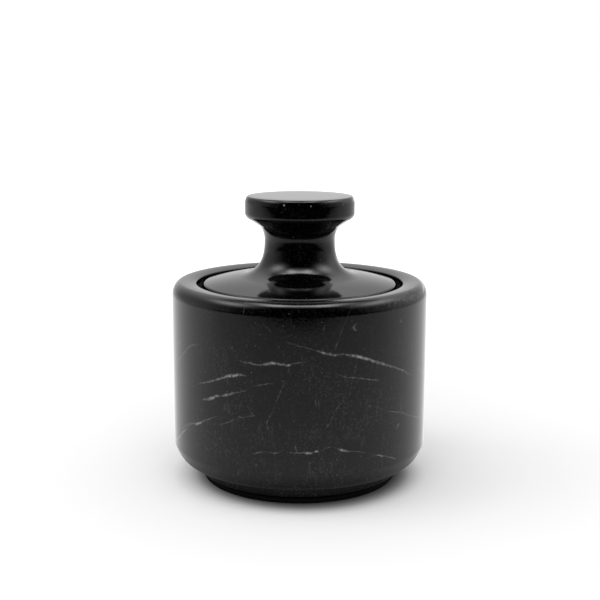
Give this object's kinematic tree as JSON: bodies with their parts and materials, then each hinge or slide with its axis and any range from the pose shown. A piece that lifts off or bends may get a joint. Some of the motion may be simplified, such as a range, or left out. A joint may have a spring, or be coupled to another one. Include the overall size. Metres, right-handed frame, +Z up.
{
  "type": "lidded stone jar",
  "caption": "Turned black marble spice jar: thick straight wall on a recessed foot, drop-in domed lid with a flat-topped knob, seal ring and base pad.",
  "frame": {"origin": "centre of the base pad's underside, on the surface that the jar stands on", "axes": "+Z up along the axis that every piece is turned about; X and Y are across the jar, with the side seen in the picture facing -Y"},
  "size_m": [0.0906, 0.0906, 0.1013],
  "materials": {
    "jar_body": "polished black marble with thin pale veins",
    "base_pad": "matte black non-slip pad",
    "lid": "polished black marble with sparse pale flecks",
    "lid_seal": "soft dark grey silicone"
  },
  "bodies": {
    "jar": {"jar_body": "jar_body", "base_pad": "base_pad"},
    "seal": {"lid_seal": "lid_seal"},
    "lid": {"lid": "lid"}
  },
  "joints": [
    {"name": "lid_lift", "type": "slide", "parent": "jar", "child": "seal", "axis": [0, 0, 1], "range_m": [0, 0.045]},
    {"name": "lid_turn", "type": "hinge", "parent": "seal", "child": "lid", "pos_m": [0, 0, 0.066], "axis": [0, 0, 1], "continuous": true}
  ]
}
